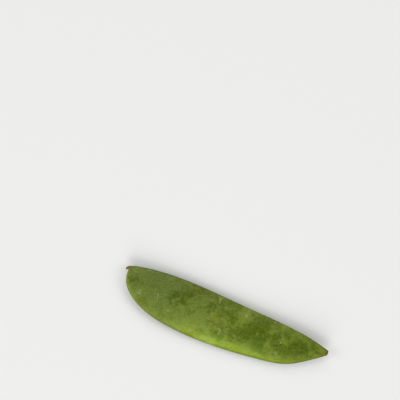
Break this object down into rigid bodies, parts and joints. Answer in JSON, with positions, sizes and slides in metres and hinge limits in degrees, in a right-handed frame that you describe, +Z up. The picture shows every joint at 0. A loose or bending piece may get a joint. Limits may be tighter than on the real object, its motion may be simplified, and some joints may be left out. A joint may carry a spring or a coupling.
{
  "type": "snow pea pod",
  "caption": "Fresh flat snow pea pod, topped at the stem, with a hooked blossom-end beak, lying on its side.",
  "frame": {"origin": "on the surface the pod lies on, under the middle of its box", "axes": "+X from the hooked blossom end to the cut stem end, +Y towards the straighter ventral suture, +Z up, through the two valves"},
  "size_m": [0.0982, 0.0234, 0.0057],
  "materials": {
    "pod_skin": "satin"
  },
  "bodies": {
    "root": {"pod": "pod_skin"}
  },
  "joints": []
}
